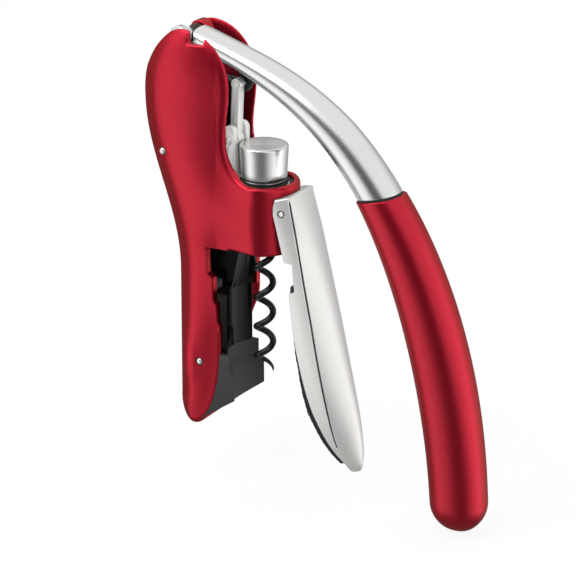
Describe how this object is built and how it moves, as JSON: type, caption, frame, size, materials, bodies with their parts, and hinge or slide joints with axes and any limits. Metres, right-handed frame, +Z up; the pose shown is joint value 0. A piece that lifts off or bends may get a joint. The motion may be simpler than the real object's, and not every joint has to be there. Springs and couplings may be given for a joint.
{
  "type": "vertical lever corkscrew",
  "caption": "Vertical lever corkscrew: a hooked lever with a grip lifts a worm through a collar, and a hinged handle clamps the bottle neck.",
  "frame": {"origin": "middle of the bottle's mouth, on the worm's axis", "axes": "+Z up along the worm's axis, +X forward from the housing's spine to the lever's grip, +Y across the housing"},
  "size_m": [0.1657, 0.031, 0.2067],
  "materials": {
    "red_paint": "satin metallic paint",
    "black_nylon": "glossy moulded nylon",
    "grey_rubber": "matt",
    "black_rubber": "matt",
    "steel_pin": "polished",
    "satin_steel": "satin",
    "turned_steel": "turned and brushed",
    "bronze": "sintered",
    "coated_steel": "black non-stick coating",
    "black_steel": "blackened",
    "red_grip": "soft-touch, satin"
  },
  "bodies": {
    "frame": {"housing": "red_paint", "collar_bush": "black_nylon", "worm_guide": "black_nylon", "drive_peg": "steel_pin", "guide_rail_left": "black_nylon", "guide_rail_right": "black_nylon", "neck_liner": "black_nylon", "neck_jaw": "grey_rubber", "upper_cross_pin": "steel_pin", "lower_cross_pin": "steel_pin", "pivot_pin": "steel_pin", "pivot_spacer": "satin_steel", "pivot_boss": "red_paint", "hinge_bracket": "red_paint", "clamp_hinge_pin": "steel_pin", "clamp_spring": "steel_pin"},
    "lever": {"lever_arm": "satin_steel", "lug_plates": "black_steel", "pivot_bush": "bronze", "arm_rivets": "steel_pin", "grip_tang": "satin_steel", "seal_ring": "black_rubber", "lever_grip": "red_grip"},
    "link": {"link_bar": "satin_steel", "link_upper_pin": "steel_pin"},
    "carriage": {"carriage": "satin_steel", "carriage_shoes": "black_nylon", "link_lower_pin": "steel_pin", "thrust_washer": "steel_pin"},
    "worm": {"worm": "coated_steel", "worm_shank": "satin_steel", "knob": "turned_steel", "knob_ring": "black_nylon"},
    "clamp": {"clamp_handle": "satin_steel", "clamp_pad": "black_rubber"}
  },
  "joints": [
    {"name": "lever_swing", "type": "hinge", "parent": "frame", "child": "lever", "pos_m": [-0.036, 0, 0.1114], "axis": [0, -1, 0], "range_deg": [0, 90]},
    {"name": "carriage_lift", "type": "slide", "parent": "frame", "child": "carriage", "axis": [0, 0, 1], "range_m": [0, 0.04]},
    {"name": "link_lean", "type": "hinge", "parent": "carriage", "child": "link", "pos_m": [-0.014, 0, 0.068], "axis": [0, -1, 0], "range_deg": [0, 9]},
    {"name": "worm_turn", "type": "hinge", "parent": "carriage", "child": "worm", "pos_m": [0, 0, 0.045], "axis": [0, 0, 1], "continuous": true},
    {"name": "clamp_swing", "type": "hinge", "parent": "frame", "child": "clamp", "pos_m": [0.0155, 0, 0.0419], "axis": [0, 1, 0], "range_deg": [0, 9], "stiffness_Nm_per_rad": 0.08, "springref_deg": -28.65, "deforming": ["clamp_spring"]}
  ],
  "couplings": [
    {"joint": "carriage_lift", "follows": "lever_swing", "m_per_rad": 0.025465},
    {"joint": "link_lean", "follows": "lever_swing", "ratio": 0.1},
    {"joint": "worm_turn", "follows": "lever_swing", "ratio": 11.429}
  ]
}
